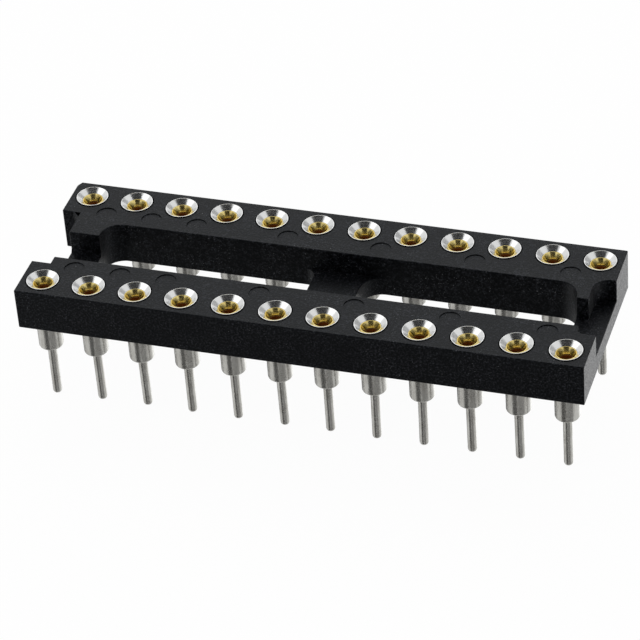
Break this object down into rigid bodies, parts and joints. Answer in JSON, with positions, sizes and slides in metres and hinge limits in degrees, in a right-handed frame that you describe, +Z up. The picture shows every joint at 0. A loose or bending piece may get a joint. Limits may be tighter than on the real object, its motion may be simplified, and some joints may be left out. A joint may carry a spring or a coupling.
{
  "type": "ic socket",
  "caption": "Open-frame dual-in-line socket: two rows of turned contacts with spring clips in a moulded frame with two windows.",
  "frame": {"origin": "under the middle of the frame, level with the tips of the tails", "axes": "+X along the two contact rows towards the rounded notch, +Y across them, +Z up out of the contact mouths"},
  "size_m": [0.0304, 0.01, 0.0074],
  "materials": {
    "black_plastic": "glass-filled thermoplastic, fine matt mould texture",
    "tin_plate": "turned brass with satin tin plate, fine lathe marks",
    "gold_plate": "stamped spring alloy with bright gold plate"
  },
  "bodies": {
    "root": {"frame": "black_plastic", "sleeve_01": "tin_plate", "sleeve_02": "tin_plate", "sleeve_03": "tin_plate", "sleeve_04": "tin_plate", "sleeve_05": "tin_plate", "sleeve_06": "tin_plate", "sleeve_07": "tin_plate", "sleeve_08": "tin_plate", "sleeve_09": "tin_plate", "sleeve_10": "tin_plate", "sleeve_11": "tin_plate", "sleeve_12": "tin_plate", "sleeve_13": "tin_plate", "sleeve_14": "tin_plate", "sleeve_15": "tin_plate", "sleeve_16": "tin_plate", "sleeve_17": "tin_plate", "sleeve_18": "tin_plate", "sleeve_19": "tin_plate", "sleeve_20": "tin_plate", "sleeve_21": "tin_plate", "sleeve_22": "tin_plate", "sleeve_23": "tin_plate", "sleeve_24": "tin_plate", "contact_clip_01": "gold_plate", "contact_clip_02": "gold_plate", "contact_clip_03": "gold_plate", "contact_clip_04": "gold_plate", "contact_clip_05": "gold_plate", "contact_clip_06": "gold_plate", "contact_clip_07": "gold_plate", "contact_clip_08": "gold_plate", "contact_clip_09": "gold_plate", "contact_clip_10": "gold_plate", "contact_clip_11": "gold_plate", "contact_clip_12": "gold_plate", "contact_clip_13": "gold_plate", "contact_clip_14": "gold_plate", "contact_clip_15": "gold_plate", "contact_clip_16": "gold_plate", "contact_clip_17": "gold_plate", "contact_clip_18": "gold_plate", "contact_clip_19": "gold_plate", "contact_clip_20": "gold_plate", "contact_clip_21": "gold_plate", "contact_clip_22": "gold_plate", "contact_clip_23": "gold_plate", "contact_clip_24": "gold_plate"}
  },
  "joints": []
}
